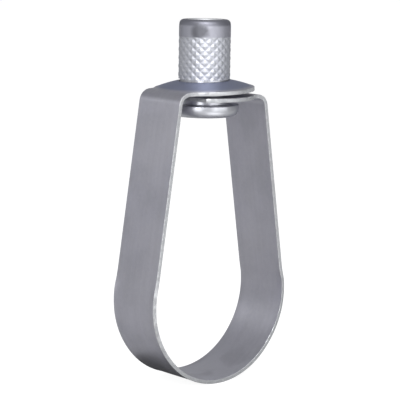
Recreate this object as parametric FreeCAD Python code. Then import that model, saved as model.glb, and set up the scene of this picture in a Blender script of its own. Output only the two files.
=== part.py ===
"""Swivel ring hanger for a DN 40 (1-1/2 in) pipe on 3/8 in threaded rod.

Two real pieces, in millimetres, +Z up. The ring band is one folded strip of galvanised steel: a round
saddle, two straight legs and two flaps that cross over each other, each ending in a round eye. The swivel
nut stands in both eyes and carries the rod; the ring turns round it. X lies in the plane of the ring and
Y along the pipe. While the model is built, heights are measured from the pipe's centre line. At the end
everything is moved down so that the origin is the middle of the nut's thread.
"""

import FreeCAD, Part

import math
import os

Vector = FreeCAD.Vector

# The pipe and the rod that the hanger joins
pipe_d = 48.3
pipe_gap = 1.15
thread_minor_d = 7.94

# The strip that the ring is folded from, and how far its legs lean in
strip_w = 19.05
strip_t = 1.2
leg_lean = 8.6
bend_r = 2.8

# The flaps over the pipe: height of the lower one's underside, and how the upper one lies over it
lower_flap_z = 61.0
flap_gap = 0.7
flap_tilt = 2.1

# The round eyes that the nut stands in, and where the lower one is cut off short of the left leg
eye_d = 30.8
eye_hole_d = 15.4
eye_corner_r = 3.0
free_end_x = 9.5

# The dome that is pressed up round the hole of the upper eye: its flat rim, and its radius on top
dome_rim_w = 0.3
dome_r = 42.0

# The lips that are turned outwards along both edges of the saddle, and the run in which each dies out
lip_w = 1.6
lip_out = 0.4
lip_run = 3.2

# The swivel nut: clearances to the ring first, then its own shape from the bottom up
neck_gap = 0.3
nut_play = 1.7
nut_seat_gap = 0.2
flange_d = 21.6
flange_side = 1.2
flange_round = 2.5
knurl_d = 15.88
knurl_depth = 0.52
knurl_len = 12.6
knurl_columns = 18
knurl_rows = 5
collar_d = 15.8
collar_len = 3.1
crown_taper = 0.2
crown_taper_len = 1.4
crown_chamfer = 0.9
mouth_chamfer = 1.0

# What follows from them
saddle_r = pipe_d / 2 + pipe_gap
eye_r = eye_d / 2
eye_hole_r = eye_hole_d / 2
thread_r = thread_minor_d / 2


def direction(angle):
    """Unit vector in the XZ plane, at an angle in degrees from +X towards +Z."""
    turn = math.radians(angle)
    return Vector(math.cos(turn), 0, math.sin(turn))


def lines(*points):
    """Straight edges from each point to the next, but none between two points that coincide."""
    pairs = zip(points, points[1:])
    return [Part.LineSegment(start, end) for start, end in pairs if start.distanceToPoint(end) > 1e-6]


def face_of(edges):
    """Flat face inside a closed run of lines and arcs."""
    return Part.Face(Part.Wire([edge.toShape() for edge in edges]))


def turned(edges):
    """Solid turned about the Z axis from a closed run of edges in the XZ plane."""
    return face_of(edges).revolve(Vector(), Vector(0, 0, 1), 360)


def mirrored(shape):
    """The same shape on the other side of the nut's axis."""
    return shape.mirror(Vector(), Vector(1, 0, 0))


def shoulder(flap_height, tilt):
    """Centre of a left-hand shoulder bend, with the outward normals of its leg and of its flap.

    flap_height is the distance from the pipe's centre line to the plane of the flap's underside.
    """
    leg_normal = direction(180 - leg_lean)
    flap_normal = direction(90 + tilt)
    along_leg = saddle_r - bend_r
    along_flap = flap_height - bend_r
    cosine = leg_normal.dot(flap_normal)
    leg_share = (along_leg - along_flap * cosine) / (1 - cosine ** 2)
    flap_share = (along_flap - along_leg * cosine) / (1 - cosine ** 2)
    return leg_normal * leg_share + flap_normal * flap_share, leg_normal, flap_normal


def arm(flap_height, tilt):
    """Left-hand leg above the lips with its shoulder bend, up to where the flat flap begins."""
    centre, leg_normal, flap_normal = shoulder(flap_height, tilt)
    middle = (leg_normal + flap_normal).normalize()
    foot = leg_normal * saddle_r + direction(90 - leg_lean) * lip_run

    def bend(radius, *normals):
        """Arc of the shoulder through the points where it faces each of the normals."""
        return Part.Arc(*[centre + normal * radius for normal in normals])

    inner = bend(bend_r, leg_normal, middle, flap_normal)
    outer = bend(bend_r + strip_t, flap_normal, middle, leg_normal)
    profile = face_of([
        *lines(foot, centre + leg_normal * bend_r),
        inner,
        *lines(centre + flap_normal * bend_r, centre + flap_normal * (bend_r + strip_t)),
        outer,
        *lines(centre + leg_normal * (bend_r + strip_t), foot + leg_normal * strip_t, foot),
    ])
    profile.translate(Vector(0, -strip_w / 2, 0))
    return profile.extrude(Vector(0, strip_w, 0))


def eye_plate(reach):
    """Flat flap with its round eye, not yet holed: the eye's centre is the origin, the strip comes from -X.

    reach is the distance from the eye's centre back to the shoulder bend. The hollow corners where the
    strip widens into the eye are rounded, at most as far as the bend. An eye that is too wide to leave
    room for them runs straight into the bend.
    """
    half_w = strip_w / 2
    room = (reach ** 2 - eye_r ** 2 + half_w ** 2) / (2 * (eye_r - half_w))
    corner_r = min(eye_corner_r, room)
    tip = Vector(eye_r, 0, 0)

    def corner(sign):
        """Start, middle and end of the rounded corner on one side of the strip."""
        hub_y = half_w + corner_r
        hub = Vector(-math.sqrt((eye_r + corner_r) ** 2 - hub_y ** 2), sign * hub_y, 0)
        start = Vector(hub.x, sign * half_w, 0)
        end = hub * (eye_r / (eye_r + corner_r))
        middle = hub + ((start - hub) + (end - hub)).normalize() * corner_r
        return start, middle, end

    if room > 0:
        low, high = corner(-1), corner(1)
        root = lines(high[0], Vector(-reach, half_w, 0), Vector(-reach, -half_w, 0), low[0])
        outline = [*root, Part.Arc(*low), Part.Arc(low[2], tip, high[2]), Part.Arc(*high[::-1])]
    else:
        root_y = math.sqrt(eye_r ** 2 - reach ** 2)
        high, low = Vector(-reach, root_y, 0), Vector(-reach, -root_y, 0)
        outline = [*lines(high, low), Part.Arc(low, tip, high)]
    return face_of(outline).extrude(Vector(0, 0, strip_t))


def dome_centre():
    """Height over the flap's underside of the centre that the dome's two spherical sides share."""
    foot_r = eye_r - dome_rim_w
    return strip_t - math.sqrt(dome_r ** 2 - foot_r ** 2)


def dome_height(radius, side_r):
    """Height over the flap's underside of a dome's side of radius side_r, at a distance from its axis."""
    return dome_centre() + math.sqrt(side_r ** 2 - radius ** 2)


def dome():
    """The pressed-up disc between the eye's rim and its hole, on the plane of the flap's underside."""
    foot_r = eye_r - dome_rim_w
    under_r = dome_r - strip_t
    under_foot_r = math.sqrt(under_r ** 2 - dome_centre() ** 2)

    def point(radius, side_r):
        return Vector(radius, 0, dome_height(radius, side_r))

    def side(start_r, end_r, side_r):
        """Arc of one side of the dome, between two distances from its axis."""
        return Part.Arc(point(start_r, side_r), point((start_r + end_r) / 2, side_r), point(end_r, side_r))

    return turned([
        side(foot_r, eye_hole_r, dome_r),
        *lines(point(eye_hole_r, dome_r), point(eye_hole_r, under_r)),
        side(eye_hole_r, under_foot_r, under_r),
        *lines(point(under_foot_r, under_r), Vector(foot_r, 0, 0), point(foot_r, dome_r)),
    ])


def upper_flap():
    """Left-hand arm with its tilted flap and domed eye, and the height of the hole's highest point."""
    tilt = math.radians(flap_tilt)
    axis_z = lower_flap_z + strip_t + flap_gap + free_end_x * math.tan(tilt)
    flap_height = axis_z * math.cos(tilt)
    hole_top = dome_height(eye_hole_r, dome_r)
    hole_middle = (hole_top + dome_height(eye_hole_r, dome_r - strip_t)) / 2
    eye_centre = Vector(0, 0, axis_z) + direction(flap_tilt) * (hole_middle * math.tan(tilt))
    centre, _, _ = shoulder(flap_height, flap_tilt)
    reach = (eye_centre - centre).dot(direction(flap_tilt))
    press = Part.makeCylinder(eye_r - dome_rim_w, 2 * strip_t + bend_r, Vector(0, 0, -bend_r))
    flap, disc = eye_plate(reach), dome()
    for shape in (flap, press, disc):
        shape.rotate(Vector(), Vector(0, 1, 0), -flap_tilt)
        shape.translate(eye_centre)
    highest = axis_z + hole_top * math.cos(tilt) + eye_hole_r * math.sin(tilt)
    return arm(flap_height, flap_tilt).fuse(flap).cut(press).fuse(disc), highest


def lower_flap():
    """Right-hand arm with its level flap and eye, which is cut straight at the free end."""
    centre, _, _ = shoulder(lower_flap_z, 0)
    kept = Part.makeBox(eye_d, eye_d, strip_t, Vector(free_end_x - eye_d, -eye_r, 0))
    hole = Part.makeCylinder(eye_hole_r, strip_t)
    flap = eye_plate(-centre.x).common(kept).cut(hole)
    flap.translate(Vector(0, 0, lower_flap_z))
    return mirrored(arm(lower_flap_z, 0).fuse(flap))


def strip_section(out):
    """Outline of the strip across the left end of the saddle, with its two lips turned outwards by out."""
    flat = strip_w / 2 - lip_w
    turn = math.atan2(out, lip_w)
    outward = direction(180 - leg_lean)

    def row(sign):
        """The inner and the outer side of one lip, each from its bend to its edge."""
        bend_y = flat - strip_t * math.tan(turn / 2)
        edge_y = strip_w / 2 - strip_t * math.sin(turn)
        inner = [(flat, 0), (strip_w / 2, out)]
        outer = [(bend_y, strip_t), (edge_y, out + strip_t * math.cos(turn))]
        return [[outward * (saddle_r + height) + Vector(0, sign * y, 0) for y, height in side]
                for side in (inner, outer)]

    (left_in, left_out), (right_in, right_out) = row(-1), row(1)
    corners = [*right_in, *right_out[::-1], *left_out, *left_in[::-1]]
    return Part.makePolygon([*corners, corners[0]])


def saddle():
    """The round part under the pipe with its lips, and the short runs in which the lips die out."""
    section = strip_section(lip_out)
    round_part = Part.Face(section).revolve(Vector(), Vector(0, -1, 0), 180 + 2 * leg_lean)
    leg_end = strip_section(0)
    leg_end.translate(direction(90 - leg_lean) * lip_run)
    run = Part.makeLoft([section, leg_end], True, True)
    return round_part.fuse([run, mirrored(run)])


def ring_band():
    """The whole folded strip, and the height of the highest point of its upper hole."""
    upper, highest = upper_flap()
    return saddle().fuse([upper, lower_flap()]).removeSplitter(), highest


def knurl(foot_z):
    """Diamond knurl as a closed drum of four-sided points, standing on the given height.

    The grid holds every half pitch round and up. Points at even places lie in the valleys. The others
    are tips, and each carries a triangle to every neighbouring pair of valley points.
    """
    tip_r = knurl_d / 2
    steps_round = 2 * knurl_columns
    steps_up = 2 * knurl_rows

    def grid(column, row):
        radius = tip_r if (column + row) % 2 else tip_r - knurl_depth
        height = foot_z + knurl_len * row / steps_up
        turn = 2 * math.pi * (column % steps_round) / steps_round
        return Vector(radius * math.cos(turn), radius * math.sin(turn), height)

    def flat(points):
        return Part.Face(Part.makePolygon([*points, points[0]]))

    faces = []
    for row in range(steps_up + 1):
        for column in range(1 - row % 2, steps_round, 2):
            left, tip, right = [grid(column + step, row) for step in (-1, 0, 1)]
            for other in (row - 1, row + 1):
                if 0 <= other <= steps_up:
                    valley = grid(column, other)
                    faces += [flat([left, valley, tip]), flat([valley, right, tip])]
    for row in (0, steps_up):
        faces.append(flat([grid(column, row) for column in range(steps_round)]))
    return Part.Solid(Part.Shell(faces))


def swivel_nut(mouth_z):
    """The whole nut, with its knurl hung over the upper eye, and the height of its thread's middle.

    mouth_z is the height of the highest point of the upper eye's hole.
    """
    flange_top = lower_flap_z - nut_play
    round_z = flange_top - flange_side
    bottom = round_z - flange_round
    knurl_foot = mouth_z + nut_seat_gap
    knurl_top = knurl_foot + knurl_len
    collar_top = knurl_top + collar_len
    chamfer_z = collar_top + crown_taper_len
    top = chamfer_z + crown_chamfer
    flange_r = flange_d / 2
    collar_r = collar_d / 2
    crown_r = collar_r - crown_taper
    neck_r = eye_hole_r - neck_gap
    mouth_r = thread_r + mouth_chamfer

    def at(radius, height):
        return Vector(radius, 0, height)

    round_hub = at(flange_r - flange_round, round_z)
    flange = turned([
        *lines(at(0, bottom), at(round_hub.x, bottom)),
        Part.Arc(at(round_hub.x, bottom), round_hub + direction(-45) * flange_round, at(flange_r, round_z)),
        *lines(at(flange_r, round_z), at(flange_r, flange_top), at(neck_r, flange_top),
               at(neck_r, knurl_foot), at(0, knurl_foot), at(0, bottom)),
    ])
    crown = turned(lines(
        at(0, knurl_top), at(collar_r, knurl_top), at(collar_r, collar_top), at(crown_r, chamfer_z),
        at(crown_r - crown_chamfer, top), at(0, top), at(0, knurl_top)))
    hole = turned(lines(
        at(0, bottom), at(mouth_r, bottom), at(thread_r, bottom + mouth_chamfer),
        at(thread_r, top - mouth_chamfer), at(mouth_r, top), at(0, top), at(0, bottom)))
    nut = flange.fuse([knurl(knurl_foot), crown]).cut(hole)
    return nut.removeSplitter(), (bottom + top) / 2


def main():
    """Build both pieces, set the origin to the middle of the thread and write one file for each."""
    band, mouth_z = ring_band()
    nut, thread_z = swivel_nut(mouth_z)
    os.makedirs("parts", exist_ok=True)
    for name, shape in (("ring_band", band), ("swivel_nut", nut)):
        shape.translate(Vector(0, 0, -thread_z))
        shape.exportStep(f"parts/{name}.step")
        print(name, "valid" if shape.isValid() else "not valid", len(shape.Solids), "solid,",
              round(shape.Volume, 1), "mm3")
    print("The origin is", round(thread_z, 3), "mm above the pipe's centre line.")


main()
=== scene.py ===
"""Swivel ring hanger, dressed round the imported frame: a folded, galvanised ring band and a zinc-plated nut.

The band is made as a press shop makes it: a flat blank with an eye at each end is laid out, the upper eye
is pressed into a dome, and the blank is folded into a ring. The nut is turned, knurled and tapped. Lengths
in those two classes are millimetres, and heights count from the pipe's centre line, as in the part's source.
Lengths in the finishes and in the studio are metres, unless it is said otherwise.
"""

import logging
import math
from collections.abc import Iterator
from contextlib import contextmanager
from dataclasses import dataclass, field
from enum import Enum

import bpy
import numpy as np
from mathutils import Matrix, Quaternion, Vector

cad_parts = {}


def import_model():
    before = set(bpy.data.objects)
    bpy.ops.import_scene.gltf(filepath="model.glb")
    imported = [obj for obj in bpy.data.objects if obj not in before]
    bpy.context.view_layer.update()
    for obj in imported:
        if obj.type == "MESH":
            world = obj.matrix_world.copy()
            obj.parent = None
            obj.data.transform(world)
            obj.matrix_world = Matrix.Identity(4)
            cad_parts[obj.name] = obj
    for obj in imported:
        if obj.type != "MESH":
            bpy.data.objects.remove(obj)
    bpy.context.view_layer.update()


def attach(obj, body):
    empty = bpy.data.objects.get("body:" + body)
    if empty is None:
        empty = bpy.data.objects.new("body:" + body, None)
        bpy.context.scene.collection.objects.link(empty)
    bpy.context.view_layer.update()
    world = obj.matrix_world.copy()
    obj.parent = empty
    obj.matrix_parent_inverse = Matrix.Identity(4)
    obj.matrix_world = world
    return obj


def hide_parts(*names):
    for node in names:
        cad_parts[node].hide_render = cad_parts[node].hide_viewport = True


MM = 0.001
PIPE_CENTRE_Z = -70.312
TINY = 1e-9
WHITE = (1.0, 1.0, 1.0)

Colour = tuple[float, float, float]
Place = tuple[float, float, float]
Pair = tuple[float, float]

log = logging.getLogger("swivel_ring_hanger")


class Material(Enum):
    """The finishes, by the name that each Blender material carries."""

    STRIP = "galvanised_strip"
    SHEARED_EDGE = "sheared_edge"
    NUT = "zinc_plated_nut"
    GROUND = "white_ground"


class Bench:
    """Hand moves in edit mode that more than one piece needs. Lengths here are metres."""

    WELD = 0.002 * MM
    SHADING_WEIGHT = 50

    @staticmethod
    def deselect() -> None:
        """Leave edit mode and let go of everything."""
        if bpy.context.object and bpy.context.object.mode != "OBJECT":
            bpy.ops.object.mode_set(mode="OBJECT")
        bpy.ops.object.select_all(action="DESELECT")

    @staticmethod
    def take(piece: bpy.types.Object) -> None:
        """Make one piece the only selected and active one.

        Args:
            piece: The object to take up.
        """
        Bench.deselect()
        piece.select_set(True)
        bpy.context.view_layer.objects.active = piece

    @staticmethod
    @contextmanager
    def editing(piece: bpy.types.Object, action: str | None = "SELECT") -> Iterator[None]:
        """Take a piece into edit mode for the block that follows, and back to object mode after it.

        Args:
            piece: The mesh object to edit.
            action: What is done with its selection first, or None to keep it.

        Yields:
            Nothing. The block works on the piece by operators.
        """
        Bench.take(piece)
        bpy.ops.object.mode_set(mode="EDIT")
        if action:
            bpy.ops.mesh.select_all(action=action)
        yield
        bpy.ops.object.mode_set(mode="OBJECT")

    @staticmethod
    def points(piece: bpy.types.Object) -> np.ndarray:
        """Read a piece's vertices.

        Args:
            piece: The mesh object.

        Returns:
            A row of x, y and z for each vertex.
        """
        flat = np.empty(len(piece.data.vertices) * 3, np.float64)
        piece.data.vertices.foreach_get("co", flat)
        return flat.reshape(-1, 3)

    @staticmethod
    def place(piece: bpy.types.Object, points: np.ndarray) -> None:
        """Move the piece's vertices to new points."""
        piece.data.vertices.foreach_set("co", points.astype(np.float32).ravel())
        piece.data.update()

    @staticmethod
    def select_faces(piece: bpy.types.Object, wanted: np.ndarray) -> None:
        """Select just the faces that a mask names, for the edit-mode operator that follows.

        Args:
            piece: The mesh object, in object mode.
            wanted: One boolean for each face.
        """
        mesh = piece.data
        mesh.vertices.foreach_set("select", np.zeros(len(mesh.vertices), bool))
        mesh.edges.foreach_set("select", np.zeros(len(mesh.edges), bool))
        mesh.polygons.foreach_set("select", wanted)
        mesh.update()

    @staticmethod
    def apply(piece: bpy.types.Object, kind: str, **settings: object) -> None:
        """Add a modifier, set it and apply it.

        Args:
            piece: The mesh object that gets it.
            kind: The modifier's type.
            settings: Its properties by name.
        """
        Bench.take(piece)
        modifier = piece.modifiers.new(kind.lower(), kind)
        for name, value in settings.items():
            setattr(modifier, name, value)
        bpy.ops.object.modifier_apply(modifier=modifier.name)

    @staticmethod
    def smooth(piece: bpy.types.Object, angle: float) -> None:
        """Shade a piece smooth but for its sharp edges, with its big faces kept flat.

        Args:
            piece: The mesh object.
            angle: The angle in degrees at which two faces begin to meet sharply.
        """
        Bench.take(piece)
        bpy.ops.object.shade_smooth_by_angle(angle=math.radians(angle))
        Bench.apply(piece, "WEIGHTED_NORMAL", keep_sharp=True, weight=Bench.SHADING_WEIGHT)

    @staticmethod
    def lathe(name: str, profile: list[tuple[float, float]], steps: int) -> bpy.types.Object:
        """Turn a closed profile about the Z axis.

        Args:
            name: The new object's name.
            profile: Radius and height of each point in millimetres, round the section.
            steps: How many faces go round.

        Returns:
            The turned solid, with its place in its mesh.
        """
        Bench.deselect()
        bpy.ops.mesh.primitive_plane_add(size=MM)
        piece = bpy.context.object
        piece.name = piece.data.name = name
        start = Vector((profile[0][0], 0, profile[0][1] + PIPE_CENTRE_Z)) * MM
        with Bench.editing(piece):
            bpy.ops.mesh.merge(type="CENTER")
            bpy.ops.transform.translate(value=start)
            for (radius, height), (next_radius, next_height) in zip(profile, profile[1:]):
                step = Vector((next_radius - radius, 0, next_height - height)) * MM
                bpy.ops.mesh.extrude_region_move(TRANSFORM_OT_translate={"value": step})
            bpy.ops.mesh.select_all(action="SELECT")
            bpy.ops.mesh.edge_face_add()
            bpy.ops.mesh.delete(type="ONLY_FACE")
            bpy.ops.mesh.select_all(action="SELECT")
            bpy.ops.mesh.spin(steps=steps, angle=2 * math.pi, center=(0, 0, 0), axis=(0, 0, 1))
            bpy.ops.mesh.select_all(action="SELECT")
            bpy.ops.mesh.remove_doubles(threshold=Bench.WELD)
            bpy.ops.mesh.normals_make_consistent(inside=False)
        return piece


def smoothstep(value: np.ndarray, low: float, high: float) -> np.ndarray:
    """Return 0 below low, 1 above high, and a smooth rise between them."""
    share = np.clip((value - low) / (high - low), 0, 1)
    return share * share * (3 - 2 * share)


def direction(angle: float) -> np.ndarray:
    """Return the unit vector in the XZ plane at an angle in degrees from +X towards +Z."""
    turn = math.radians(angle)
    return np.array([math.cos(turn), 0.0, math.sin(turn)])


@dataclass
class Fold:
    """One side of the ring on the strip's outer surface: flap, shoulder bend and leg, down to the saddle.

    It is worked out for the left-hand side; the right-hand side is its mirror image.
    """

    flap_height: float
    tilt: float
    side: int
    leg_lean: float
    saddle_r: float
    bend_r: float
    strip_t: float
    eye_centre: np.ndarray
    leg_normal: np.ndarray = field(init=False)
    leg_down: np.ndarray = field(init=False)
    flap_normal: np.ndarray = field(init=False)
    flap_along: np.ndarray = field(init=False)
    centre: np.ndarray = field(init=False)
    reach: float = field(init=False)
    bend_length: float = field(init=False)
    leg_length: float = field(init=False)

    def __post_init__(self) -> None:
        """Solve the shoulder's centre and the lengths along the strip."""
        self.leg_normal = direction(180 - self.leg_lean)
        self.leg_down = -direction(90 - self.leg_lean)
        self.flap_normal = direction(90 + self.tilt)
        self.flap_along = direction(self.tilt)
        along_leg = self.saddle_r - self.bend_r
        along_flap = self.flap_height - self.bend_r
        cosine = float(self.leg_normal @ self.flap_normal)
        leg_share = (along_leg - along_flap * cosine) / (1 - cosine ** 2)
        flap_share = (along_flap - along_leg * cosine) / (1 - cosine ** 2)
        self.centre = self.leg_normal * leg_share + self.flap_normal * flap_share
        self.reach = float((self.eye_centre - self.centre) @ self.flap_along)
        self.bend_length = (self.bend_r + self.strip_t) * math.acos(cosine)
        self.leg_length = float(self.centre @ -self.leg_down)

    @property
    def length(self) -> float:
        """Distance along the strip from the eye's centre to the saddle."""
        return self.reach + self.bend_length + self.leg_length

    def flat(self, along: np.ndarray, across: np.ndarray, rise: np.ndarray) -> np.ndarray:
        """Return points over the flap's top plane.

        Args:
            along: Distance back from the eye's centre.
            across: Distance from the strip's middle.
            rise: How far each point stands off that plane.

        Returns:
            Their places in the row frame, in millimetres.
        """
        point = self.eye_centre - along[:, None] * self.flap_along
        point = point + (self.strip_t + rise)[:, None] * self.flap_normal
        return self.facing(point, across)

    def bent(self, along: np.ndarray, across: np.ndarray, rise: np.ndarray) -> np.ndarray:
        """Return points on the folded strip.

        Args:
            along: Distance down the strip from the eye's centre, on the outer surface.
            across: Distance from the strip's middle.
            rise: How far each point stands off that surface.

        Returns:
            Their places in the row frame, in millimetres.
        """
        outer = self.bend_r + self.strip_t
        turn = np.clip(along - self.reach, 0, self.bend_length) / outer
        normal = np.cos(turn)[:, None] * self.flap_normal - np.sin(turn)[:, None] * self.flap_along
        before = np.minimum(along - self.reach, 0)[:, None] * -self.flap_along
        below = np.clip(along - self.reach - self.bend_length, 0, self.leg_length)[:, None]
        point = self.centre + before + below * self.leg_down + normal * (outer + rise)[:, None]
        past = along - self.length
        angle = np.radians(180 - self.leg_lean) + np.maximum(past, 0) / (self.saddle_r + self.strip_t)
        radial = np.stack([np.cos(angle), np.zeros_like(angle), np.sin(angle)], 1)
        arc = radial * (self.saddle_r + self.strip_t + rise)[:, None]
        return self.facing(np.where((past > 0)[:, None], arc, point), across)

    def facing(self, point: np.ndarray, across: np.ndarray) -> np.ndarray:
        """Return the points on this side of the ring, at their distance along the pipe."""
        return np.stack([point[:, 0] * -self.side, across, point[:, 2] + PIPE_CENTRE_Z], 1)


@dataclass
class RingBand:
    """The whole folded strip, one piece from the lower eye round the pipe to the upper eye."""

    strip_w: float = 19.05
    strip_t: float = 1.2
    saddle_r: float = 25.3
    leg_lean: float = 8.6
    bend_r: float = 2.8
    lower_flap_z: float = 61.0
    flap_gap: float = 0.7
    flap_tilt: float = 2.1
    eye_r: float = 15.4
    hole_r: float = 7.7
    corner_r: float = 3.0
    free_end_x: float = 9.5
    dome_r: float = 42.0
    dome_foot_r: float = 15.1
    lip_start: float = 7.3
    lip_out: float = 0.364
    lip_curve: float = 1.4
    lip_run: float = 3.2
    lip_ease: float = 0.7
    lip_ease_arc: Pair = (7.0, 23.0)
    # Where the painted light on the saddle's bottom begins and where it is full, past each leg's foot.
    saddle_light_arc: Pair = (18.0, 42.0)
    pressed_r: float = 13.5
    hole_rings: tuple[float, ...] = (8.05, 8.6)
    dome_rings: tuple[float, ...] = (9.4, 10.3, 11.2, 12.1, 13.0, 13.8, 14.5)
    dome_foot_gap: float = 0.08
    dome_rim: tuple[float, ...] = (0.2, 0.3, 0.4, 0.45, 1.0)
    dome_rim_at_neck: tuple[float, ...] = (0.12, 0.32, 0.55, 0.78, 1.0)
    flat_rim: tuple[float, ...] = (0.2, 0.35, 0.45, 0.52, 0.6, 0.7, 1.0)
    flat_rim_at_neck: tuple[float, ...] = (0.35, 0.6, 0.68, 0.76, 0.84, 0.92, 1.0)
    rim_turn: Pair = (128.0, 150.0)
    spokes: int = 192
    neck_spokes: int = 16
    neck_run: float = 18.0
    column_crowding: float = 1.35
    bend_rows: int = 8
    leg_rows: int = 20
    lip_rows: int = 8
    saddle_rows: int = 96
    edge_round: float = 0.15
    edge_angle: float = 62.0
    edge_segments: int = 3
    smooth_angle: float = 40.0
    weld: float = 0.004
    upper: Fold = field(init=False)
    lower: Fold = field(init=False)

    def __post_init__(self) -> None:
        """Place both eyes and fold lines."""
        self.upper = self.fold(-1, self.flap_tilt)
        self.lower = self.fold(1, 0.0)

    def fold(self, side: int, tilt: float) -> Fold:
        """Work out the fold of one side.

        Args:
            side: -1 for the left, whose flap lies over the other by the gap, or 1 for the right.
            tilt: How far the flap rises from level, in degrees.

        Returns:
            The fold, with its eye centred over the nut's axis.
        """
        turn = math.radians(tilt)
        height, offset = self.lower_flap_z, 0.0
        if side < 0:
            height += self.strip_t + self.flap_gap + self.free_end_x * math.tan(turn)
            sides = (self.dome_r, self.dome_r - self.strip_t)
            top, under = (self.dome(self.hole_r, radius) for radius in sides)
            offset = (top + under) / 2 * math.tan(turn)
        centre = np.array([0.0, 0.0, height]) + direction(tilt) * offset
        return Fold(height * math.cos(turn), tilt, side, self.leg_lean, self.saddle_r, self.bend_r,
                    self.strip_t, centre)

    def dome(self, radius: float | np.ndarray, side_r: float) -> float | np.ndarray:
        """Return the height of one spherical side of the dome over the flap's underside."""
        hub = self.strip_t - math.sqrt(self.dome_r ** 2 - self.dome_foot_r ** 2)
        return hub + np.sqrt(side_r ** 2 - np.minimum(radius, self.dome_foot_r) ** 2)

    @property
    def neck(self) -> float:
        """Distance from the eye's centre to the line across the strip where the eye's blank ends."""
        return self.strip_w / 2 / math.tan(math.radians(180 * 2 * self.neck_spokes / self.spokes))

    def outline(self, turn: np.ndarray, cut: float | None) -> np.ndarray:
        """Work out the blank's edge round an eye, as a distance from the eye's centre.

        Args:
            turn: Angles from the free end's side, in radians, from 0 to pi.
            cut: Where the free end is cut straight, or None for a round one.

        Returns:
            The distance at each angle: the round eye, the hollow corner, then the strip's side.
        """
        half_w = self.strip_w / 2
        hub_y = half_w + self.corner_r
        hub_x = -math.sqrt((self.eye_r + self.corner_r) ** 2 - hub_y ** 2)
        tangent = math.atan2(hub_y, hub_x)
        straight = math.atan2(half_w, hub_x)
        corner = math.atan2(half_w, -self.neck)
        cosine, sine = np.cos(turn), np.sin(turn)
        radius = np.full_like(turn, self.eye_r)
        towards = hub_x * cosine + hub_y * sine
        inside = towards ** 2 - hub_x ** 2 - hub_y ** 2 + self.corner_r ** 2
        hollow = towards - np.sqrt(np.maximum(inside, 0))
        radius = np.where(turn > tangent, hollow, radius)
        radius = np.where(turn > straight, half_w / np.maximum(sine, TINY), radius)
        radius = np.where(turn > corner - TINY, self.neck / np.maximum(-cosine, TINY), radius)
        if cut is not None:
            radius = np.where(cosine * radius > cut, cut / np.maximum(cosine, TINY), radius)
        return radius

    def disc(self, name: str, rings: int) -> tuple[bpy.types.Object, np.ndarray, np.ndarray]:
        """Make the flat disc of rings and spokes that an eye is shaped from.

        Args:
            name: A name for the sheet.
            rings: How many rings of vertices it has.

        Returns:
            The sheet, and for each vertex its ring, from the hole outwards, and its signed spoke.
        """
        growth = 1.1
        Bench.deselect()
        bpy.ops.mesh.primitive_circle_add(vertices=self.spokes, radius=self.hole_r)
        sheet = bpy.context.object
        sheet.name = name
        with Bench.editing(sheet):
            for _ in range(rings - 1):
                bpy.ops.mesh.extrude_edges_move()
                bpy.ops.transform.resize(value=(growth, growth, 1))
        start = Bench.points(sheet)
        reach = np.hypot(start[:, 0], start[:, 1]) / self.hole_r
        ring = np.rint(np.log(reach) / math.log(growth)).astype(int)
        spoke = np.rint(np.arctan2(start[:, 1], start[:, 0]) / (2 * math.pi / self.spokes))
        return sheet, ring, spoke

    def turns(self, spoke: np.ndarray, cut: float | None) -> np.ndarray:
        """Spread the spokes so that one of them meets each corner of the blank.

        Args:
            spoke: The signed spoke of each vertex, counted from the free end's side.
            cut: Where the free end is cut straight, or None for a round one.

        Returns:
            Each vertex's angle from the free end's side, in radians, from 0 to pi.
        """
        half = self.spokes // 2
        anchors = [0, half - self.neck_spokes, half]
        angles = [0.0, math.pi - math.atan2(self.strip_w / 2, self.neck), math.pi]
        if cut is not None:
            corner = math.acos(cut / self.eye_r)
            anchors.insert(1, round(corner / (2 * math.pi / self.spokes)))
            angles.insert(1, corner)
        return np.interp(np.abs(spoke), anchors, angles)

    def eye(self, name: str, fold: Fold, domed: bool) -> bpy.types.Object:
        """Make one eye's sheet out to the neck, pressed if it is domed and bent over its shoulder.

        Args:
            name: A name for the sheet.
            fold: The side of the ring that it belongs to.
            domed: Whether the dome is pressed up round the hole.

        Returns:
            The sheet, at its place, in metres.
        """
        rings = [self.hole_r, *self.hole_rings]
        rims = (self.flat_rim, self.flat_rim_at_neck)
        cut = self.free_end_x
        if domed:
            rings += [*self.dome_rings, self.dome_foot_r - self.dome_foot_gap]
            rims = (self.dome_rim, self.dome_rim_at_neck)
            cut = None
        sheet, ring, spoke = self.disc(name, len(rings) + len(rims[0]))
        turn = self.turns(spoke, cut)
        share, neck_share = (np.array([0.0] * len(rings) + list(rim))[ring] for rim in rims)
        low, high = (math.radians(angle) for angle in self.rim_turn)
        share = share + (neck_share - share) * smoothstep(turn, low, high)
        inner = np.array(rings)[np.minimum(ring, len(rings) - 1)]
        outer = rings[-1] + (self.outline(turn, cut) - rings[-1]) * share
        radius = np.where(ring < len(rings), inner, outer)
        along = -np.cos(turn) * radius
        across = np.sin(turn) * radius * np.where(spoke < 0, -1, 1)
        level = np.zeros_like(along)
        rise = self.dome(radius, self.dome_r) - self.strip_t if domed else level
        pressed = (radius < self.dome_foot_r) & domed
        flat = fold.flat(along, across, rise)
        Bench.place(sheet, np.where(pressed[:, None], flat, fold.bent(along, across, level)) * MM)
        # The pressed share places the dome's rougher finish and its painted shade.
        press = np.where(pressed, smoothstep(-radius, -self.dome_foot_r, -self.pressed_r), 0)
        self.lay_grain(sheet, along * fold.side, across, pressed=press, rubbed=level)
        return sheet

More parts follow.
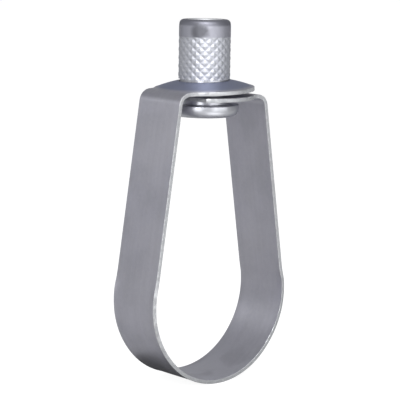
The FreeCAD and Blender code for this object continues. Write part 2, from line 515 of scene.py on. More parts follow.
    def lay_grain(self, sheet: bpy.types.Object, along: np.ndarray, across: np.ndarray,
                  **worked: np.ndarray) -> None:
        """Keep each vertex's place on the flat blank, how far it was pressed, and its share of painted light.

        Args:
            sheet: The sheet that gets them, the places as a UV map.
            along: Distance along the blank.
            across: Distance from the blank's middle.
            worked: Shares from 0 to 1, each kept as an attribute under its name.
        """
        mesh = sheet.data
        for layer in list(mesh.uv_layers):
            mesh.uv_layers.remove(layer)
        layer = mesh.uv_layers.new(name="blank")
        corners = np.empty(len(mesh.loops), np.int32)
        mesh.loops.foreach_get("vertex_index", corners)
        place = np.stack([along[corners], across[corners]], 1) * MM
        layer.data.foreach_set("uv", place.astype(np.float32).ravel())
        for name, share in worked.items():
            attribute = mesh.attributes.new(name, "FLOAT", "POINT")
            attribute.data.foreach_set("value", share.astype(np.float32))

    def side_rows(self, fold: Fold) -> np.ndarray:
        """Space the rows of one side, with more of them in the bend and where the lips begin.

        Args:
            fold: The side of the ring.

        Returns:
            Distances down the strip, from the neck to just short of the saddle.
        """
        stops = [self.neck, fold.reach + fold.bend_length, fold.length - self.lip_run, fold.length]
        counts = [self.bend_rows, self.leg_rows, self.lip_rows]
        return np.concatenate([np.linspace(low, high, count, endpoint=False)
                               for low, high, count in zip(stops, stops[1:], counts)])

    def strip(self) -> bpy.types.Object:
        """Make the strip's sheet from one neck round the saddle to the other.

        Returns:
            The sheet, at its place, in metres.
        """
        saddle = math.radians(180 + 2 * self.leg_lean) * (self.saddle_r + self.strip_t)
        total = self.upper.length + saddle + self.lower.length
        round_part = np.linspace(0, saddle, self.saddle_rows + 1) + self.upper.length
        stations = np.concatenate([self.side_rows(self.upper), round_part,
                                   total - self.side_rows(self.lower)[::-1]])
        Bench.deselect()
        rows, columns = len(stations) - 1, 2 * self.neck_spokes
        bpy.ops.mesh.primitive_grid_add(x_subdivisions=rows, y_subdivisions=columns, size=2)
        sheet = bpy.context.object
        sheet.name = "strip_sheet"
        start = Bench.points(sheet)
        along = stations[np.rint((start[:, 0] + 1) / 2 * rows).astype(int)]
        column = np.rint(start[:, 1] * self.neck_spokes)
        share = np.abs(column) / self.neck_spokes
        half_w = self.strip_w / 2
        at_neck = self.neck * np.tan(share * math.atan2(half_w, self.neck))
        at_saddle = half_w * (1 - (1 - share) ** self.column_crowding)
        near = np.minimum(along, total - along)
        past_neck = smoothstep(near, self.neck, self.neck + self.neck_run)
        across = (at_neck + (at_saddle - at_neck) * past_neck) * np.sign(column)
        lip = np.clip((np.abs(across) - self.lip_start) / (half_w - self.lip_start), 0, 1) ** self.lip_curve
        feet = (self.upper.length, self.lower.length)
        foot = np.where(along < total / 2, *feet)
        rise = self.lip_out * lip * smoothstep(near, min(feet) - self.lip_run, max(feet))
        rise *= 1 - self.lip_ease * smoothstep(near - foot, *self.lip_ease_arc)
        left_point = self.upper.bent(along, across, rise)
        right_point = self.lower.bent(total - along, across, rise)
        Bench.place(sheet, np.where((along < total / 2)[:, None], left_point, right_point) * MM)
        # Painted light: a share that lifts the saddle's bottom, rising towards the middle of the saddle.
        rub = smoothstep(near - foot, *self.saddle_light_arc)
        self.lay_grain(sheet, along, across, pressed=np.zeros_like(along), rubbed=rub)
        return sheet

    def build(self, faces: bpy.types.Material, edges: bpy.types.Material) -> bpy.types.Object:
        """Join the sheets, give them the strip's thickness and ease the sheared edges.

        Args:
            faces: The finish of the strip's two faces.
            edges: The finish of its sheared edges.

        Returns:
            The finished band.
        """
        sheets = [self.strip(), self.eye("upper_sheet", self.upper, domed=True),
                  self.eye("lower_sheet", self.lower, domed=False)]
        Bench.deselect()
        for sheet in sheets:
            sheet.select_set(True)
        bpy.context.view_layer.objects.active = sheets[0]
        bpy.ops.object.join()
        band = bpy.context.object
        band.name = band.data.name = "ring_band_dressed"
        with Bench.editing(band):
            bpy.ops.mesh.remove_doubles(threshold=self.weld * MM)
            bpy.ops.mesh.normals_make_consistent(inside=False)
        self.face_out(band)
        band.data.materials.clear()
        band.data.materials.append(faces)
        band.data.materials.append(edges)
        Bench.apply(band, "SOLIDIFY", thickness=self.strip_t * MM, offset=-1, use_even_offset=True,
                    material_offset_rim=1)
        Bench.apply(band, "BEVEL", width=self.edge_round * MM, segments=self.edge_segments,
                    limit_method="ANGLE", angle_limit=math.radians(self.edge_angle), material=1)
        Bench.smooth(band, self.smooth_angle)
        return band

    def face_out(self, band: bpy.types.Object) -> None:
        """Turn the open sheet over if its faces look into the ring.

        Args:
            band: The joined sheet.
        """
        lowest = min(band.data.polygons, key=lambda face: face.center.z)
        if lowest.normal.z > 0:
            with Bench.editing(band):
                bpy.ops.mesh.flip_normals()


@dataclass
class SwivelNut:
    """The turned, knurled and tapped nut that stands in both eyes."""

    bottom_z: float = 55.6
    flange_top_z: float = 59.3
    knurl_foot_z: float = 67.02
    knurl_len: float = 12.6
    collar_top_z: float = 82.9
    top_z: float = 85.024
    flange_r: float = 10.8
    flange_round: float = 2.5
    flange_top_round: float = 0.22
    neck_r: float = 7.4
    neck_round: float = 0.25
    under_step: float = 0.05
    under_drop: Pair = (0.02, 0.1)
    knurl_r: float = 7.94
    knurl_depth: float = 0.25
    groove_flank: Pair = (-0.06, 0.44)
    knurl_columns: int = 18
    knurl_rows: int = 5
    cell: int = 4
    drum_slack: float = 0.001
    collar_r: float = 7.9
    collar_round: float = 0.8
    collar_step: float = 0.25
    collar_step_round: float = 0.06
    crown_r: float = 7.7
    crown_round: float = 1.3
    mouth: float = 1.0
    mouth_round: float = 0.12
    minor_r: float = 3.97
    major_r: float = 4.7625
    pitch: float = 1.5875
    flank_angle: float = 30.0
    crest_share: float = 0.125
    tooth_foot_r: float = 3.8
    thread_steps: int = 60
    arc_step: float = 0.26
    smooth_angle: float = 38.0

    def profile(self) -> list[tuple[float, float]]:
        """Lay out the nut's section, from the upper mouth over the outside to the bore.

        Returns:
            Radius and height of each point in millimetres.
        """
        knurl_top = self.knurl_foot_z + self.knurl_len
        rows = 2 * self.knurl_rows * self.cell
        mouth_r = self.minor_r + self.mouth
        corners = [
            (mouth_r, self.top_z, self.mouth_round),
            (self.crown_r, self.top_z, self.crown_round),
            (self.collar_r, self.collar_top_z, self.collar_round),
            (self.collar_r, knurl_top + self.collar_step, self.collar_step_round),
        ]
        knurl = [(self.knurl_r, self.knurl_foot_z + self.knurl_len * row / rows, 0.0)
                 for row in range(rows, -1, -1)]
        below = [
            (self.neck_r + self.under_step, self.knurl_foot_z - self.under_drop[0], 0.0),
            (self.neck_r, self.knurl_foot_z - self.under_drop[1], 0.0),
            (self.neck_r, self.flange_top_z, self.neck_round),
            (self.flange_r, self.flange_top_z, self.flange_top_round),
            (self.flange_r, self.bottom_z, self.flange_round),
            (mouth_r, self.bottom_z, self.mouth_round),
            (self.minor_r, self.bottom_z + self.mouth, 0.0),
            (self.minor_r, self.top_z - self.mouth, 0.0),
        ]
        return self.eased(corners + knurl + below)

    def eased(self, corners: list[tuple[float, float, float]]) -> list[tuple[float, float]]:
        """Round the corners of a closed section.

        Args:
            corners: Radius, height and rounding of each corner in millimetres.

        Returns:
            The section's points, with an arc at each rounded corner.
        """
        section = []
        for index, (radius, height, ease) in enumerate(corners):
            here = np.array([radius, height])
            if ease <= 0:
                section.append((radius, height))
                continue
            back = np.array(corners[index - 1][:2]) - here
            ahead = np.array(corners[(index + 1) % len(corners)][:2]) - here
            back, ahead = back / np.linalg.norm(back), ahead / np.linalg.norm(ahead)
            half = math.acos(max(-1.0, min(1.0, float(back @ ahead)))) / 2
            hub = here + (back + ahead) / np.linalg.norm(back + ahead) * ease / math.sin(half)
            run = ease / math.tan(half)
            first, last = (math.atan2(*(here + way * run - hub)[::-1]) for way in (back, ahead))
            sweep = (last - first + math.pi) % (2 * math.pi) - math.pi
            count = max(2, math.ceil(abs(sweep) / self.arc_step))
            for step in range(count + 1):
                angle = first + sweep * step / count
                section.append((hub[0] + ease * math.cos(angle), hub[1] + ease * math.sin(angle)))
        return section

    def knurl(self, nut: bpy.types.Object) -> None:
        """Roll the diamond knurl into the drum: crossed grooves that leave four-sided points.

        Args:
            nut: The turned nut.
        """
        centres = np.empty(len(nut.data.polygons) * 3, np.float64)
        nut.data.polygons.foreach_get("center", centres)
        on_drum, _, _ = self.drum(centres.reshape(-1, 3) / MM, 0)
        Bench.select_faces(nut, on_drum)
        with Bench.editing(nut, None):
            bpy.ops.mesh.poke()
        point = Bench.points(nut) / MM
        on_drum, radius, climb = self.drum(point, self.drum_slack)
        turn = np.arctan2(point[:, 1], point[:, 0]) / (2 * math.pi) * self.knurl_columns
        grooves = [np.abs((turn + way * climb + 0.5) % 1 - 0.5) for way in (1, -1)]
        land = smoothstep(np.minimum(*grooves), *self.groove_flank)
        rolled = self.knurl_r - self.knurl_depth * (1 - land)
        scale = np.where(on_drum, rolled / np.maximum(radius, TINY), 1)
        point[:, :2] *= scale[:, None]
        Bench.place(nut, point * MM)

    def drum(self, point: np.ndarray, slack: float) -> tuple[np.ndarray, np.ndarray, np.ndarray]:
        """Find what lies on the drum that the knurl is rolled into.

        Args:
            point: Places on the nut, in millimetres.
            slack: How far past its ends they may lie.

        Returns:
            Whether each one is on the drum, its radius, and how many rows of points it lies up.
        """
        radius = np.hypot(point[:, 0], point[:, 1])
        height = point[:, 2] - PIPE_CENTRE_Z - self.knurl_foot_z
        on_drum = (radius > (self.neck_r + self.knurl_r) / 2) & (height > -slack)
        on_drum &= height < self.knurl_len + slack
        return on_drum, radius, height / self.knurl_len * self.knurl_rows

    def tap(self) -> bpy.types.Object:
        """Make the helical tooth that the thread's groove is cut with, right-handed.

        Returns:
            The closed tooth, longer than the nut.
        """
        inner_r = self.tooth_foot_r
        half_out = self.pitch * self.crest_share / 2
        half_in = half_out + (self.major_r - inner_r) * math.tan(math.radians(self.flank_angle))
        Bench.deselect()
        bpy.ops.mesh.primitive_plane_add(size=MM)
        tooth = bpy.context.object
        tooth.name = "tap_tooth"
        start = self.bottom_z - self.pitch + PIPE_CENTRE_Z
        section = [(inner_r, -half_in), (self.major_r, -half_out),
                   (inner_r, half_in), (self.major_r, half_out)]
        Bench.place(tooth, np.array([(radius, 0, start + height) for radius, height in section]) * MM)
        with Bench.editing(tooth):
            bpy.ops.mesh.delete(type="ONLY_FACE")
        spare_turns = 2
        turns = math.ceil((self.top_z - self.bottom_z) / self.pitch) + spare_turns
        Bench.apply(tooth, "SCREW", axis="Z", angle=2 * math.pi, screw_offset=self.pitch * MM,
                    iterations=turns, steps=self.thread_steps, render_steps=self.thread_steps)
        with Bench.editing(tooth, "DESELECT"):
            bpy.ops.mesh.select_mode(type="EDGE")
            bpy.ops.mesh.select_non_manifold()
            bpy.ops.mesh.fill_holes(sides=len(section))
            bpy.ops.mesh.select_all(action="SELECT")
            bpy.ops.mesh.normals_make_consistent(inside=False)
            bpy.ops.mesh.select_mode(type="VERT")
        return tooth

    def build(self, finish: bpy.types.Material) -> bpy.types.Object:
        """Turn, knurl and tap the nut.

        Args:
            finish: The finish of its whole surface.

        Returns:
            The finished nut.
        """
        steps = 2 * self.knurl_columns * self.cell
        nut = Bench.lathe("swivel_nut_dressed", self.profile(), steps)
        self.knurl(nut)
        tooth = self.tap()
        Bench.apply(nut, "BOOLEAN", object=tooth, operation="DIFFERENCE", solver="EXACT")
        bpy.data.objects.remove(tooth)
        Bench.smooth(nut, self.smooth_angle)
        nut.data.materials.clear()
        nut.data.materials.append(finish)
        return nut


class Graph:
    """A node tree with short ways to add and join nodes."""

    def __init__(self, tree: bpy.types.NodeTree) -> None:
        """Hold the tree that the nodes go into."""
        self.tree = tree

    def feed(self, socket: bpy.types.NodeSocket, value: object) -> None:
        """Give an input what it is to hold.

        Args:
            socket: The input.
            value: The output that feeds it, or a value. A colour is its red, green and blue.
        """
        if isinstance(value, bpy.types.NodeSocket):
            self.tree.links.new(value, socket)
        else:
            socket.default_value = (*value, 1.0) if socket.type == "RGBA" else value

    def add(self, kind: str, inputs: dict[str | int, object] | None = None,
            **settings: object) -> bpy.types.Node:
        """Add a node.

        Args:
            kind: The node's type.
            inputs: For some of its inputs, by name or number, a value or the output that feeds it.
            settings: The node's own properties.

        Returns:
            The new node.
        """
        node = self.tree.nodes.new(kind)
        for name, value in settings.items():
            setattr(node, name, value)
        for key, value in (inputs or {}).items():
            self.feed(node.inputs[key], value)
        return node

    def math(self, operation: str, *values: object) -> bpy.types.NodeSocket:
        """Return the result of one sum on some values or outputs."""
        return self.add("ShaderNodeMath", dict(enumerate(values)), operation=operation).outputs[0]

    def noise(self, vector: bpy.types.NodeSocket, scale: object, detail: float) -> bpy.types.NodeSocket:
        """Return the height of a noise over a vector."""
        return self.add("ShaderNodeTexNoise", {"Vector": vector, "Scale": scale, "Detail": detail}).outputs[0]

    def away(self, vector: bpy.types.NodeSocket, place: Place) -> bpy.types.NodeSocket:
        """Return how far a vector lies from a place."""
        return self.add("ShaderNodeVectorMath", {0: vector, 1: place}, operation="DISTANCE").outputs["Value"]

    def spread(self, value: object, low: float, high: float, to_low: float,
               to_high: float) -> bpy.types.NodeSocket:
        """Return a value mapped smoothly from one range to another."""
        inputs = {"Value": value, "From Min": low, "From Max": high, "To Min": to_low, "To Max": to_high}
        return self.add("ShaderNodeMapRange", inputs, interpolation_type="SMOOTHSTEP").outputs["Result"]

    def lay(self, tone: object, over: object, *shares: object) -> bpy.types.NodeSocket:
        """Lay one colour over another.

        Args:
            tone: The colour beneath.
            over: The colour laid over it.
            shares: How much of it shows, as values or outputs that are multiplied.

        Returns:
            The mixed colour.
        """
        share = shares[0]
        for other in shares[1:]:
            share = self.math("MULTIPLY", share, other)
        return self.add("ShaderNodeMix", {0: share, 6: tone, 7: over}, data_type="RGBA").outputs[2]


class Effect(Enum):
    """The effects that several finishes share, by the name of their node group."""

    ROLLED_GRAIN = "rolled_grain"
    ZINC_BLOOM = "zinc_bloom"


class EffectKit:
    """Builds each shared effect once, as a node group that gives out masks."""

    STREAK_SCALE = 0.18
    LINE_DETAIL = 3.0
    LINE_SPAN = (0.3, 0.7)
    STREAK_DETAIL = 2.0
    STREAK_SPAN = (0.35, 0.68)
    PATCH_DETAIL = 4.0
    PATCH_SPAN = (0.36, 0.66)

    def __init__(self) -> None:
        """Build the groups."""
        self.groups = {Effect.ROLLED_GRAIN: self.rolled_grain(), Effect.ZINC_BLOOM: self.zinc_bloom()}

    @staticmethod
    def shell(effect: Effect, scales: list[str], masks: list[str]) -> bpy.types.NodeTree:
        """Start a group with its sockets.

        Args:
            effect: Which effect it is.
            scales: The names of the scales that it takes beside its vector.
            masks: The names of the masks that it gives out.

        Returns:
            The empty group.
        """
        tree = bpy.data.node_groups.new(effect.value, "ShaderNodeTree")
        tree.interface.new_socket(name="Vector", in_out="INPUT", socket_type="NodeSocketVector")
        for name in scales:
            tree.interface.new_socket(name=name, in_out="INPUT", socket_type="NodeSocketFloat")
        for name in masks:
            tree.interface.new_socket(name=name, in_out="OUTPUT", socket_type="NodeSocketFloat")
        return tree

    def rolled_grain(self) -> bpy.types.NodeTree:
        """Build fine lines drawn out along the rolling direction, the vector's X.

        Returns:
            The group, which gives out fine lines and broader streaks.
        """
        tree = self.shell(Effect.ROLLED_GRAIN, ["Along", "Across"], ["Lines", "Streaks"])
        graph = Graph(tree)
        given = graph.add("NodeGroupInput").outputs
        scale = graph.add("ShaderNodeCombineXYZ", {0: given["Along"], 1: given["Across"], 2: given["Across"]})
        factors = {0: given["Vector"], 1: scale.outputs[0]}
        drawn = graph.add("ShaderNodeVectorMath", factors, operation="MULTIPLY").outputs[0]
        factors = {0: drawn, "Scale": self.STREAK_SCALE}
        broad = graph.add("ShaderNodeVectorMath", factors, operation="SCALE").outputs[0]
        lines = graph.noise(drawn, 1.0, self.LINE_DETAIL)
        streaks = graph.noise(broad, 1.0, self.STREAK_DETAIL)
        graph.add("NodeGroupOutput", {"Lines": graph.spread(lines, *self.LINE_SPAN, 0, 1),
                                      "Streaks": graph.spread(streaks, *self.STREAK_SPAN, 0, 1)})
        return tree

    def zinc_bloom(self) -> bpy.types.NodeTree:
        """Build the tiny crystals of a zinc coat and the broad dull patches over them.

        Returns:
            The group, which gives out both.
        """
        tree = self.shell(Effect.ZINC_BLOOM, ["Crystal", "Patch"], ["Crystals", "Patches"])
        graph = Graph(tree)
        given = graph.add("NodeGroupInput").outputs
        patches = graph.noise(given["Vector"], given["Patch"], self.PATCH_DETAIL)
        cells = graph.add("ShaderNodeTexVoronoi", {"Vector": given["Vector"], "Scale": given["Crystal"]})
        shade = graph.add("ShaderNodeSeparateColor", {0: cells.outputs["Color"]})
        graph.add("NodeGroupOutput", {"Crystals": shade.outputs[0],
                                      "Patches": graph.spread(patches, *self.PATCH_SPAN, 0, 1)})
        return tree

    def use(self, graph: Graph, effect: Effect, vector: bpy.types.NodeSocket,
            scales: Pair) -> bpy.types.bpy_prop_collection:
        """Place an effect in a material's graph.

        Args:
            graph: The graph that gets it.
            effect: Which effect it is.
            vector: The coordinates that it lies on.
            scales: Its two scales, in the order of the group's sockets.

        Returns:
            The masks that it gives out, by name.
        """
        inputs = {0: vector, 1: scales[0], 2: scales[1]}
        return graph.add("ShaderNodeGroup", inputs, node_tree=self.groups[effect]).outputs


class Surface(Graph):
    """The node tree of one material, round its Principled shader."""

    def __init__(self, kind: Material) -> None:
        """Start the material.

        Args:
            kind: The finish whose name it carries.
        """
        self.material = bpy.data.materials.new(kind.value)
        self.material.use_nodes = True
        super().__init__(self.material.node_tree)
        self.place = self.add("ShaderNodeTexCoord").outputs["Object"]

    def relief(self, height: object, strength: float, depth: float) -> bpy.types.NodeSocket:
        """Return the normal of a surface with a fine relief, as deep as a length in metres."""
        inputs = {"Height": height, "Strength": strength, "Distance": depth}
        return self.add("ShaderNodeBump", inputs).outputs[0]

    def finish(self, inputs: dict[str, object]) -> bpy.types.Material:
        """Feed the shader.

        Args:
            inputs: For some of its inputs, by name, a value or the output that feeds it.

        Returns:
            The finished material.
        """
        shader = self.tree.nodes["Principled BSDF"]
        for name, value in inputs.items():
            self.feed(shader.inputs[name], value)
        return self.material


@dataclass(frozen=True)
class StripFinish:
    """Pre-galvanised strip: dull, finely rolled, with a faint bloom, painted shade on the pressed dome and
    painted light on the saddle's bottom.
    """

    grain_scales: Pair = (90.0, 3600.0)
    bloom_scales: Pair = (1100.0, 95.0)
    base: Colour = (0.495, 0.493, 0.56)
    shade: Colour = (0.43, 0.43, 0.485)
    shade_share: float = 0.75
    cloud: Colour = (0.54, 0.535, 0.585)
    cloud_scale: float = 48.0
    cloud_detail: float = 3.0
    cloud_span: Pair = (0.35, 0.68)
    cloud_share: float = 0.5
    glint: Colour = (0.72, 0.72, 0.74)
    glint_share: float = 0.10
    streak: Colour = (0.30, 0.30, 0.33)
    streak_share: float = 0.08
    # Painted light on the saddle's bottom: a lighter colour, broken into blotches by the zinc's patches.
    rubbed: Colour = (0.74, 0.74, 0.80)
    saddle_light_span: Pair = (0.10, 0.90)
    saddle_light_shares: Pair = (0.56, 0.27)
    # Painted shade on the pressed dome: darker and bluer, standing in for the dim blue that it reflects.
    pressed: Colour = (0.27, 0.292, 0.392)
    roughness: float = 0.44
    pressed_roughness: float = 0.52
    line_roughness: float = 0.07
    line_height: float = 0.6
    relief: Pair = (0.12, 0.00004)

    def make(self, kit: EffectKit) -> bpy.types.Material:
        """Make the material of the strip's faces.

        Args:
            kit: The shared effects.

        Returns:
            The material.
        """
        metal = Surface(Material.STRIP)
        blank = metal.add("ShaderNodeUVMap", uv_map="blank").outputs[0]
        rub, press = (metal.add("ShaderNodeAttribute", attribute_name=name).outputs["Fac"]
                      for name in ("rubbed", "pressed"))
        grain = kit.use(metal, Effect.ROLLED_GRAIN, blank, self.grain_scales)
        bloom = kit.use(metal, Effect.ZINC_BLOOM, metal.place, self.bloom_scales)
        cloud = metal.noise(blank, self.cloud_scale, self.cloud_detail)
        cloud = metal.spread(cloud, *self.cloud_span, 0, self.cloud_share)
        blotch = metal.spread(bloom["Patches"], *self.saddle_light_span, *self.saddle_light_shares)
        tone = metal.lay(self.base, self.shade, bloom["Patches"], self.shade_share)
        tone = metal.lay(tone, self.cloud, cloud)
        tone = metal.lay(tone, self.glint, bloom["Crystals"], self.glint_share)
        tone = metal.lay(tone, self.streak, grain["Streaks"], self.streak_share)
        # Painted light on the saddle's bottom, in blotches.
        tone = metal.lay(tone, self.rubbed, rub, blotch)
        # Painted shade on the pressed dome.
        tone = metal.lay(tone, self.pressed, press)
        low, pressed_low = (roughness - self.line_roughness / 2
                            for roughness in (self.roughness, self.pressed_roughness))
        between = metal.spread(press, 0, 1, low, pressed_low)
        rough = metal.math("MULTIPLY_ADD", grain["Lines"], self.line_roughness, between)
        lines = metal.math("MULTIPLY", grain["Lines"], self.line_height)
        height = metal.math("ADD", lines, bloom["Crystals"])
        return metal.finish({"Base Color": tone, "Roughness": rough, "Metallic": 1.0,
                             "Normal": metal.relief(height, *self.relief)})


@dataclass(frozen=True)
class EdgeFinish:
    """The strip's sheared edges: bare steel, smoother where it was cut and duller where it tore."""

    bloom_scales: Pair = (2600.0, 420.0)
    base: Colour = (0.56, 0.57, 0.585)
    torn: Colour = (0.46, 0.468, 0.484)
    torn_share: float = 0.7
    torn_span: Pair = (0.1, 0.7)
    roughness: float = 0.48
    torn_roughness: float = 0.76
    relief: Pair = (0.2, 0.00005)

    def make(self, kit: EffectKit) -> bpy.types.Material:
        """Make the material of the sheared edges.

        Args:
            kit: The shared effects.

        Returns:
            The material.
        """
        metal = Surface(Material.SHEARED_EDGE)
        bloom = kit.use(metal, Effect.ZINC_BLOOM, metal.place, self.bloom_scales)
        tone = metal.lay(self.base, self.torn, bloom["Patches"], self.torn_share)
        rough = metal.spread(bloom["Patches"], *self.torn_span, self.roughness, self.torn_roughness)
        return metal.finish({"Base Color": tone, "Roughness": rough, "Metallic": 1.0,
                             "Normal": metal.relief(bloom["Crystals"], *self.relief)})


@dataclass(frozen=True)
class NutFinish:
    """Bright zinc plating over turned steel, with painted shade on the collar and the crown, a painted dark
    reflection on the collar, painted light on the upper mouth and in the knurl's grooves, and a dark thread.

    Each part of it begins over a short span of heights above the thread's middle, or of radii.
    """

    bloom_scales: Pair = (1700.0, 210.0)
    base: Colour = (0.62, 0.63, 0.67)
    dull: Colour = (0.44, 0.45, 0.50)
    dull_share: float = 0.35
    # Painted shade on the collar: darker, standing in for the dark surroundings that it reflects.
    collar: Colour = (0.395, 0.398, 0.452)
    collar_shade_share: float = 0.92
    collar_foot: Pair = (0.00941, 0.00961)
    # Painted shade on the crown: darker, to hold down its highlight.
    crown: Colour = (0.24, 0.242, 0.28)
    crown_foot: Pair = (0.0126, 0.0134)
    # A painted dark reflection on the collar's front: a dark spot with a ragged rim.
    painted_dark_reflection: Colour = (0.17, 0.173, 0.195)
    dark_reflection_place: Place = (-0.0060, -0.0052, 0.0112)
    dark_reflection_span: Pair = (0.0008, 0.0030)
    dark_reflection_ragged: float = -0.0012
    # Painted light in the knurl: its grooves are laid lighter than its points, to even out the relief's
    # shading.
    groove: Colour = (0.56, 0.572, 0.625)
    point: Colour = (0.53, 0.541, 0.58)
    point_span: Pair = (0.00765, 0.00790)
    knurl_foot: Pair = (-0.00349, -0.00329)
    knurl_top: Pair = (0.00931, 0.00951)
    # Painted highlight on the upper mouth: its chamfer and the inner edge of the top are laid light.
    mouth: Colour = (0.78, 0.79, 0.81)
    mouth_foot: Pair = (0.0136, 0.0138)
    mouth_rim: Pair = (0.0052, 0.0056)
    thread: Colour = (0.26, 0.27, 0.31)
    thread_rim: Pair = (0.00478, 0.00490)
    roughness: float = 0.36
    knurl_roughness: float = 0.56
    collar_roughness: float = 0.54
    dulling: Pair = (0.00931, 0.00961)
    turning_scale: float = 9000.0
    turning_detail: float = 2.0
    turning_height: float = 0.8
    relief: Pair = (0.10, 0.00004)

    def make(self, kit: EffectKit) -> bpy.types.Material:
        """Make the nut's material.

        Args:
            kit: The shared effects.

        Returns:
            The material.
        """
        metal = Surface(Material.NUT)
        across, along, up = metal.add("ShaderNodeSeparateXYZ", {0: metal.place}).outputs
        squares = (metal.math("POWER", axis, 2.0) for axis in (across, along))
        radius = metal.math("SQRT", metal.math("ADD", *squares))
        bloom = kit.use(metal, Effect.ZINC_BLOOM, metal.place, self.bloom_scales)
        on_collar, on_crown, on_mouth, over_foot = (
            metal.spread(up, *span, 0, 1)
            for span in (self.collar_foot, self.crown_foot, self.mouth_foot, self.knurl_foot))
        under_mouth, under_collar = (
            metal.spread(up, *span, 1, 0) for span in (self.mouth_foot, self.knurl_top))
        in_mouth, in_bore = (metal.spread(radius, *span, 1, 0) for span in (self.mouth_rim, self.thread_rim))
        on_point = metal.spread(radius, *self.point_span, 0, 1)
        on_knurl = metal.math("MULTIPLY", under_collar, over_foot)
        # The painted dark reflection's spot, its rim made ragged by the zinc's patches.
        ragged = metal.math("MULTIPLY", bloom["Patches"], self.dark_reflection_ragged)
        spot = metal.math("ADD", metal.away(metal.place, self.dark_reflection_place), ragged)
        tone = metal.lay(self.base, self.dull, bloom["Patches"], self.dull_share)
        # Painted shade on the collar.
        tone = metal.lay(tone, self.collar, on_collar, self.collar_shade_share)
        # Painted shade on the crown.
        tone = metal.lay(tone, self.crown, on_crown)
        # Painted dark reflection on the collar.
        tone = metal.lay(tone, self.painted_dark_reflection, metal.spread(spot, *self.dark_reflection_span, 1, 0), on_collar)
        # The knurl's grooves get painted light, a lighter colour than its points.
        tone = metal.lay(tone, metal.lay(self.groove, self.point, on_point), on_knurl)
        # Painted highlight on the upper mouth.
        tone = metal.lay(tone, self.mouth, in_mouth, on_mouth)
        tone = metal.lay(tone, self.thread, in_bore, under_mouth)
        rough = metal.spread(up, *self.dulling, self.roughness, self.collar_roughness)
        rough = metal.add("ShaderNodeMix", {"Factor": on_knurl, "A": rough, "B": self.knurl_roughness})
        marks = (metal.math("MULTIPLY", axis, self.turning_scale) for axis in (up, radius))
        rings = metal.add("ShaderNodeCombineXYZ", dict(enumerate(marks))).outputs[0]
        turned = metal.noise(rings, 1.0, self.turning_detail)
        turned = metal.math("MULTIPLY", turned, self.turning_height)
        height = metal.math("ADD", turned, bloom["Crystals"])
        return metal.finish({"Base Color": tone, "Roughness": rough.outputs["Result"], "Metallic": 1.0,
                             "Normal": metal.relief(height, *self.relief)})


def stand(data: bpy.types.ID, place: Vector, back: Vector, roll: float = 0.0) -> bpy.types.Object:
    """Stand a lamp or a camera in the scene.

    Args:
        data: The lamp or the camera.
        place: Where it stands.
        back: The direction that it looks away from.
        roll: How far it is turned about its own line of sight, in degrees.

    Returns:
        Its object.
    """
    holder = bpy.data.objects.new(data.name, data)
    bpy.context.scene.collection.objects.link(holder)
    holder.location = place
    holder.rotation_mode = "QUATERNION"
    look = (-back).to_track_quat("-Z", "Y")
    holder.rotation_quaternion = look @ Quaternion((0, 0, 1), math.radians(roll))
    return holder


@dataclass(frozen=True)
class Softbox:
    """A soft, square lamp: where it stands round the object and how bright its face is."""

    name: str
    bearing: float
    elevation: float
    distance: float
    width: float
    height: float
    radiance: float

    def stand(self, centre: Vector) -> None:
        """Stand the lamp and turn it to the object.

        Args:
            centre: The place that it lights.
        """
        turn, rise = math.radians(self.bearing), math.radians(self.elevation)
        out = Vector((math.cos(turn) * math.cos(rise), math.sin(turn) * math.cos(rise), math.sin(rise)))
        lamp = bpy.data.lights.new(self.name, "AREA")
        lamp.shape = "RECTANGLE"
        lamp.size = self.width
        lamp.size_y = self.height
        lamp.energy = self.radiance * math.pi * self.width * self.height
        stand(lamp, centre + out * self.distance, out)


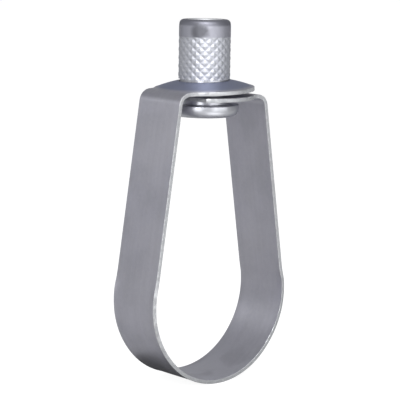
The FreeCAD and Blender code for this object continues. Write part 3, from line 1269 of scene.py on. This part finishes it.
@dataclass
class Studio:
    """The floor, the light and the camera at the photograph's angle.

    The camera's distance and target and the floor's height are millimetres. The azimuth is the direction
    that the camera looks in, in degrees from +Y towards +X. A lamp's bearing is from +X towards +Y.
    """

    azimuth: float = 40.915
    elevation: float = 8.694
    roll: float = 0.969
    distance: float = 537.02
    picture_px: float = 400.0
    focal_px: float = 1740.5
    clip: Pair = (0.01, 100.0)
    target: Place = (-0.489, 0.423, -40.869)
    lit_z: float = -0.041
    room: Colour = (0.30, 0.303, 0.31)
    floor_z: float = -96.93
    floor_r: float = 8.0
    floor_sides: int = 96
    floor_colour: float = 0.50
    # Painted shade: the floor's colour is darker near the object.
    floor_near_shade: float = 0.41
    near_reach: Pair = (0.020, 0.085)
    # Painted contact shadow: the floor is nearly black right under the object.
    floor_contact_shadow: float = 0.04
    shade_centre: Place = (-0.008, 0.005, 0.0)
    shade_reach: Pair = (0.0125, 0.0178)
    floor_seen: float = 0.20
    floor_roughness: float = 0.9
    floor_specular: float = 0.1
    camera_glow: float = 0.94
    mirror_glow: float = 0.04
    front_glow: float = 1.19
    front_centre: Place = (0.0, -0.12, 0.0)
    front_reach: Pair = (0.05, 0.075)
    boxes: tuple[Softbox, ...] = (
        Softbox("left_box", 129, 16, 0.7, 0.50, 0.26, 0.62),
        Softbox("side_box", 161, 9, 0.65, 0.16, 0.15, 1.7),
        Softbox("low_left_box", 211, 3.5, 0.6, 0.13, 0.16, 6.4),
        Softbox("low_right_box", 268, 3.5, 0.6, 0.14, 0.16, 3.9),
        Softbox("high_left_box", 220, 39, 0.8, 0.24, 0.64, 7.4),
        Softbox("high_right_box", 246, 39, 0.8, 0.24, 0.64, 7.0),
        Softbox("top_box", 229, 78, 0.9, 1.0, 0.7, 0.65),
        Softbox("right_box", 294, 2, 0.7, 0.34, 0.15, 2.3),
    )

    def build(self) -> None:
        """Set up everything that isn't the object."""
        bpy.context.scene.view_settings.view_transform = "Standard"
        self.camera()
        self.light()
        self.floor()

    def camera(self) -> None:
        """Stand the camera where the photograph was taken from."""
        turn, rise = math.radians(self.azimuth), math.radians(self.elevation)
        back = Vector((-math.sin(turn) * math.cos(rise), -math.cos(turn) * math.cos(rise), math.sin(rise)))
        lens = bpy.data.cameras.new("camera")
        lens.lens = self.focal_px / self.picture_px * lens.sensor_width
        lens.clip_start, lens.clip_end = self.clip
        place = (Vector(self.target) + back * self.distance) * MM
        bpy.context.scene.camera = stand(lens, place, back, self.roll)

    def light(self) -> None:
        """Light the object with soft boxes in a dim, cool room that looks pale behind the object."""
        world = bpy.data.worlds.new("studio")
        bpy.context.scene.world = world
        world.use_nodes = True
        graph = Graph(world.node_tree)
        seen = graph.add("ShaderNodeLightPath").outputs["Is Camera Ray"]
        graph.feed(world.node_tree.nodes["Background"].inputs["Color"], graph.lay(self.room, WHITE, seen))
        for box in self.boxes:
            box.stand(Vector((0, 0, self.lit_z)))

    def floor(self) -> None:
        """Lay the plain pale floor: white to the camera, and keeping the object's shadow."""
        Bench.deselect()
        bpy.ops.mesh.primitive_circle_add(vertices=self.floor_sides, radius=self.floor_r, fill_type="NGON",
                                          location=(0, 0, self.floor_z * MM))
        floor = bpy.context.object
        floor.name = "floor"
        floor.data.materials.append(self.ground())

    def ground(self) -> bpy.types.Material:
        """Make the floor's material, with painted shade and a painted contact shadow under the object and a
        patch of painted light before it, all seen only by reflections.

        Returns:
            The material.
        """
        ground = Surface(Material.GROUND)
        path = ground.add("ShaderNodeLightPath").outputs
        reach = ground.away(ground.place, self.shade_centre)
        under, around = (ground.spread(reach, *span, 1, 0) for span in (self.shade_reach, self.near_reach))
        far, near, contact, seen = ((grey,) * 3 for grey in (
            self.floor_colour, self.floor_near_shade, self.floor_contact_shadow, self.floor_seen))
        # Painted shade and painted contact shadow under the object, which the camera doesn't see.
        tone = ground.lay(ground.lay(far, near, around), contact, under)
        tone = ground.lay(tone, seen, path["Is Camera Ray"])
        # Painted light: a patch of floor before the object glows for reflections only.
        front = ground.spread(ground.away(ground.place, self.front_centre), *self.front_reach,
                              self.front_glow, self.mirror_glow)
        mirrored = ground.math("MULTIPLY", path["Is Glossy Ray"], front)
        glow = ground.math("MULTIPLY_ADD", path["Is Camera Ray"], self.camera_glow, mirrored)
        return ground.finish({"Base Color": tone, "Roughness": self.floor_roughness,
                              "Specular IOR Level": self.floor_specular,
                              "Emission Color": WHITE, "Emission Strength": glow})


def main() -> None:
    """Dress the frame."""
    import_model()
    kit = EffectKit()
    band = RingBand().build(StripFinish().make(kit), EdgeFinish().make(kit))
    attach(band, "ring")
    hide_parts("ring_band")
    log.info("%s: %d faces", band.name, len(band.data.polygons))
    nut = SwivelNut().build(NutFinish().make(kit))
    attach(nut, "nut")
    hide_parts("swivel_nut")
    log.info("%s: %d faces", nut.name, len(nut.data.polygons))
    Studio().build()


if __name__ == "__main__":
    logging.basicConfig(level=logging.INFO)
    main()
